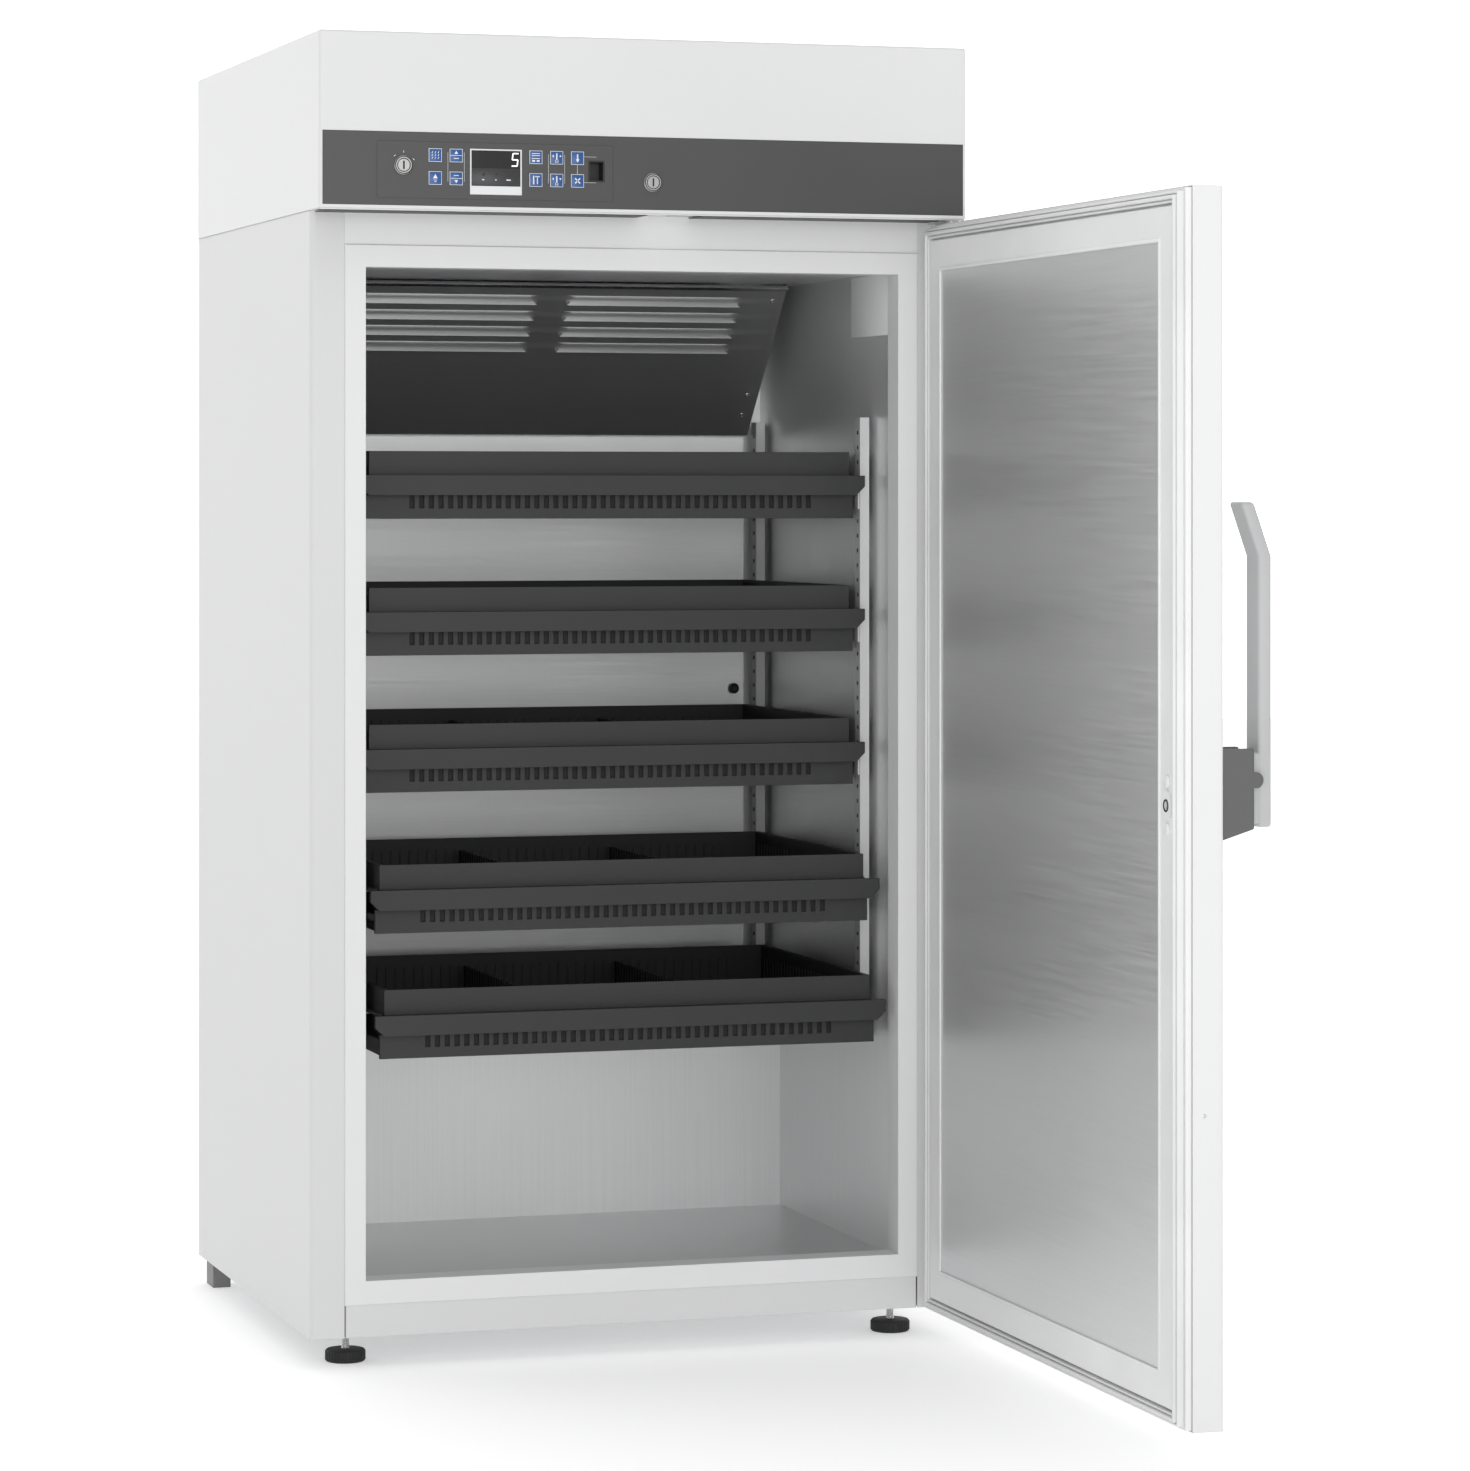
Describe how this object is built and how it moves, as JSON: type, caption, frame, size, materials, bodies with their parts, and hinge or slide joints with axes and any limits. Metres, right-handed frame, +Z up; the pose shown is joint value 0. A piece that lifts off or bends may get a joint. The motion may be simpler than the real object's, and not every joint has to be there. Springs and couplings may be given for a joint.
{
  "type": "medicine refrigerator",
  "caption": "Upright medicine refrigerator with a hinged insulated door, pull-out drawers on rails, a control strip in the head and a lever handle.",
  "frame": {"origin": "On the floor, under the middle of the cabinet body.", "axes": "+Z up, -Y toward the front, +X to the right seen from the front."},
  "size_m": [0.714, 1.2375, 1.3],
  "materials": {
    "white_sheet": "powder coat",
    "steel": "fine ground",
    "zinc_sheet": "zinc plated",
    "bright_steel": "bright nickel",
    "drawer_plastic": "fine grain",
    "insulation": "closed-cell foam",
    "dark_strip": "satin",
    "key_foil": "printed foil",
    "black_plastic": "satin",
    "dark_window": "gloss",
    "lamp": "gloss",
    "board": "satin",
    "fin_metal": "plain",
    "black_enamel": "satin",
    "white_plastic": "satin",
    "gasket_rubber": "satin",
    "grey_plastic": "fine grain",
    "light_grey": "satin",
    "pad_rubber": "satin"
  },
  "bodies": {
    "cabinet": {"base_pan": "zinc_sheet", "cabinet_insulation": "insulation", "card_slot": "black_plastic", "compressor": "black_enamel", "condenser": "fin_metal", "control_board": "board", "control_fascia": "dark_strip", "display_frame": "black_plastic", "display_window": "dark_window", "drawer_rails": "steel", "evaporator": "fin_metal", "evaporator_cover": "steel", "fan_motor": "black_plastic", "front_frame": "white_sheet", "head_cover": "white_sheet", "hinge_pins": "bright_steel", "indicator_lamps": "lamp", "key_switch_bezel": "bright_steel", "keypad_foil": "key_foil", "levelling_feet": "pad_rubber", "levelling_nuts": "bright_steel", "liner": "steel", "liner_floor": "steel", "lock_rosette": "bright_steel", "lower_hinge_bracket": "zinc_sheet", "machine_cover": "zinc_sheet", "mains_inlet": "black_plastic", "plinth_panel": "white_sheet", "rear_duct_panel": "steel", "rear_feet": "grey_plastic", "rear_panel": "white_sheet", "side_panel_left": "white_sheet", "side_panel_right": "white_sheet", "top_deck": "zinc_sheet", "upper_hinge_bracket": "zinc_sheet", "uprights": "steel"},
    "door": {"door_shell": "white_sheet", "door_foam": "insulation", "door_inner_frame": "white_plastic", "door_panel": "steel", "door_gasket": "gasket_rubber", "hinge_bushes": "white_plastic", "handle_bracket": "grey_plastic", "handle_keeper_plate": "white_plastic"},
    "lever": {"handle_lever": "light_grey"},
    "plunger": {"release_plunger": "bright_steel"},
    "key_switch": {"key_switch_barrel": "bright_steel"},
    "lock": {"lock_barrel": "bright_steel"},
    "bolt": {"lock_bolt": "bright_steel"},
    "fan": {"fan_rotor": "black_plastic"},
    "drawer_1": {"drawer_tray_1": "drawer_plastic", "drawer_dividers_1": "drawer_plastic"},
    "drawer_2": {"drawer_tray_2": "drawer_plastic", "drawer_dividers_2": "drawer_plastic"},
    "drawer_3": {"drawer_tray_3": "drawer_plastic", "drawer_dividers_3": "drawer_plastic"},
    "drawer_4": {"drawer_tray_4": "drawer_plastic", "drawer_dividers_4": "drawer_plastic"},
    "drawer_5": {"drawer_tray_5": "drawer_plastic", "drawer_dividers_5": "drawer_plastic"}
  },
  "joints": [
    {"name": "door_hinge", "type": "hinge", "parent": "cabinet", "child": "door", "pos_m": [0.3215, -0.307, 0.03], "axis": [0, 0, 1], "range_deg": [-90, 15]},
    {"name": "handle_pivot", "type": "hinge", "parent": "door", "child": "lever", "pos_m": [0.3715, -0.9315, 0.6], "axis": [0, 1, 0], "range_deg": [0, 12], "stiffness_Nm_per_rad": 4, "springref_deg": -5.73},
    {"name": "plunger_slide", "type": "slide", "parent": "door", "child": "plunger", "axis": [-1, 0, 0], "range_m": [0, 0.006]},
    {"name": "key_switch_turn", "type": "hinge", "parent": "cabinet", "child": "key_switch", "pos_m": [-0.2483, -0.32, 1.1708], "axis": [0, 1, 0], "range_deg": [-60, 60]},
    {"name": "lock_turn", "type": "hinge", "parent": "cabinet", "child": "lock", "pos_m": [0.0034, -0.32, 1.1588], "axis": [0, 1, 0], "range_deg": [0, 90]},
    {"name": "bolt_drop", "type": "slide", "parent": "cabinet", "child": "bolt", "axis": [0, 0, -1], "range_m": [0, 0.008]},
    {"name": "fan_spin", "type": "hinge", "parent": "cabinet", "child": "fan", "pos_m": [0, 0.10182, 1.00167], "axis": [0, -0.7416, -0.6708], "continuous": true},
    {"name": "drawer_1_slide", "type": "slide", "parent": "cabinet", "child": "drawer_1", "axis": [0, -1, 0], "range_m": [0, 0.3]},
    {"name": "drawer_2_slide", "type": "slide", "parent": "cabinet", "child": "drawer_2", "axis": [0, -1, 0], "range_m": [0, 0.3]},
    {"name": "drawer_3_slide", "type": "slide", "parent": "cabinet", "child": "drawer_3", "axis": [0, -1, 0], "range_m": [0, 0.3]},
    {"name": "drawer_4_slide", "type": "slide", "parent": "cabinet", "child": "drawer_4", "axis": [0, -1, 0], "range_m": [-0.045, 0.255]},
    {"name": "drawer_5_slide", "type": "slide", "parent": "cabinet", "child": "drawer_5", "axis": [0, -1, 0], "range_m": [-0.065, 0.235]}
  ],
  "couplings": [
    {"joint": "plunger_slide", "follows": "handle_pivot", "m_per_rad": 0.0275},
    {"joint": "lock_turn", "follows": "bolt_drop", "rad_per_m": 196.3}
  ]
}
